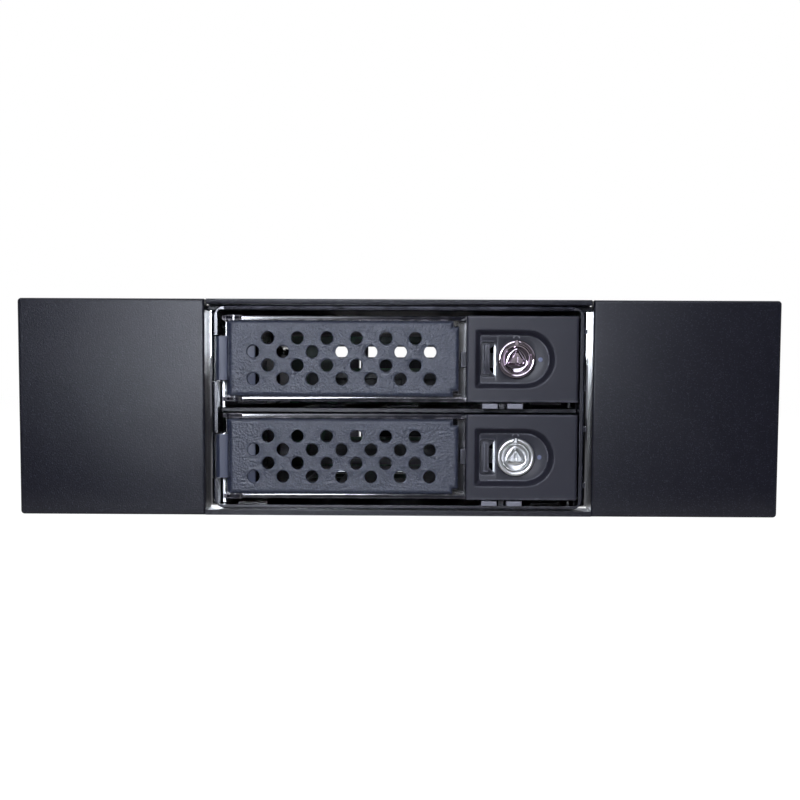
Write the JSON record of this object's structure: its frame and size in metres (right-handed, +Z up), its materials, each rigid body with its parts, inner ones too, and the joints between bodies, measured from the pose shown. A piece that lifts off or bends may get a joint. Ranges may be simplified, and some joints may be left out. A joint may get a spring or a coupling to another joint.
{
  "type": "hot swap drive cage",
  "caption": "Hot swap cage that fills a half-height 5.25-inch bay and holds 2.5-inch drives on locking trays with hinged perforated handles.",
  "frame": {"origin": "centre of the bounding box's bottom face, on the base pan's underside", "axes": "+Z up, the front with the trays faces -Y, and +X is to the right as seen from the front"},
  "size_m": [0.149, 0.1396, 0.0423],
  "materials": {
    "case_paint": "fine powder coat",
    "bright_steel": "bright rolled",
    "bezel_plastic": "satin",
    "guide_plastic": "satin",
    "light_pipe": "smoky clear",
    "board": "satin",
    "connector": "satin",
    "port": "satin",
    "light": "clear",
    "screw": "plated",
    "tray_steel": "plated",
    "tray_plastic": "half gloss",
    "lock_plastic": "satin",
    "handle_paint": "fine powder coat",
    "claw_plastic": "satin",
    "pin_steel": "plated",
    "spring_steel": "plain",
    "lock_chrome": "polished"
  },
  "bodies": {
    "housing": {"base_pan": "case_paint", "top_cover": "case_paint", "rear_panel": "case_paint", "wing_left": "case_paint", "wing_right": "case_paint", "bay_shelf": "case_paint", "drive_cage": "bright_steel", "bezel_frame": "bezel_plastic", "guide_lower_left": "guide_plastic", "guide_lower_right": "guide_plastic", "guide_upper_left": "guide_plastic", "guide_upper_right": "guide_plastic", "power_light_pipe_lower": "light_pipe", "activity_light_pipe_lower": "light_pipe", "power_light_pipe_upper": "light_pipe", "activity_light_pipe_upper": "light_pipe", "light_pipe_clips": "light_pipe", "backplane_board": "board", "drive_socket_lower": "connector", "drive_socket_upper": "connector", "data_port_lower": "port", "data_port_upper": "port", "power_inlet": "port", "status_lights": "light", "cover_screws": "screw", "board_screws": "screw"},
    "tray_lower": {"tray_pan_lower": "tray_steel", "tray_front_lower": "tray_plastic", "handle_pin_lower": "pin_steel", "lock_housing_lower": "lock_plastic", "slider_spring_lower": "spring_steel", "lock_barrel_lower": "lock_chrome", "lock_clip_lower": "pin_steel"},
    "handle_lower": {"handle_plate_lower": "handle_paint", "handle_claw_lower": "claw_plastic"},
    "slider_lower": {"release_slider_lower": "lock_plastic"},
    "key_lower": {"lock_plug_lower": "lock_chrome", "lock_cam_lower": "pin_steel"},
    "tray_upper": {"tray_pan_upper": "tray_steel", "tray_front_upper": "tray_plastic", "handle_pin_upper": "pin_steel", "lock_housing_upper": "lock_plastic", "slider_spring_upper": "spring_steel", "lock_barrel_upper": "lock_chrome", "lock_clip_upper": "pin_steel"},
    "handle_upper": {"handle_plate_upper": "handle_paint", "handle_claw_upper": "claw_plastic"},
    "slider_upper": {"release_slider_upper": "lock_plastic"},
    "key_upper": {"lock_plug_upper": "lock_chrome", "lock_cam_upper": "pin_steel"}
  },
  "joints": [
    {"name": "tray_slide_lower", "type": "slide", "parent": "housing", "child": "tray_lower", "axis": [0, -1, 0], "range_m": [0, 0.132]},
    {"name": "handle_hinge_lower", "type": "hinge", "parent": "tray_lower", "child": "handle_lower", "pos_m": [-0.0326, -0.06555, 0.01155], "axis": [0, 0, -1], "range_deg": [0, 80]},
    {"name": "release_slide_lower", "type": "slide", "parent": "tray_lower", "child": "slider_lower", "axis": [1, 0, 0], "range_m": [0, 0.0012], "stiffness_N_per_m": 400, "springref_m": -0.002, "deforming": ["slider_spring_lower"]},
    {"name": "key_turn_lower", "type": "hinge", "parent": "tray_lower", "child": "key_lower", "pos_m": [0.02318, -0.06195, 0.01155], "axis": [0, 1, 0], "range_deg": [0, 90]},
    {"name": "tray_slide_upper", "type": "slide", "parent": "housing", "child": "tray_upper", "axis": [0, -1, 0], "range_m": [0, 0.132]},
    {"name": "handle_hinge_upper", "type": "hinge", "parent": "tray_upper", "child": "handle_upper", "pos_m": [-0.0326, -0.06555, 0.0308], "axis": [0, 0, -1], "range_deg": [0, 80]},
    {"name": "release_slide_upper", "type": "slide", "parent": "tray_upper", "child": "slider_upper", "axis": [1, 0, 0], "range_m": [0, 0.0012], "stiffness_N_per_m": 400, "springref_m": -0.002, "deforming": ["slider_spring_upper"]},
    {"name": "key_turn_upper", "type": "hinge", "parent": "tray_upper", "child": "key_upper", "pos_m": [0.02318, -0.06195, 0.0308], "axis": [0, 1, 0], "range_deg": [0, 90]}
  ]
}
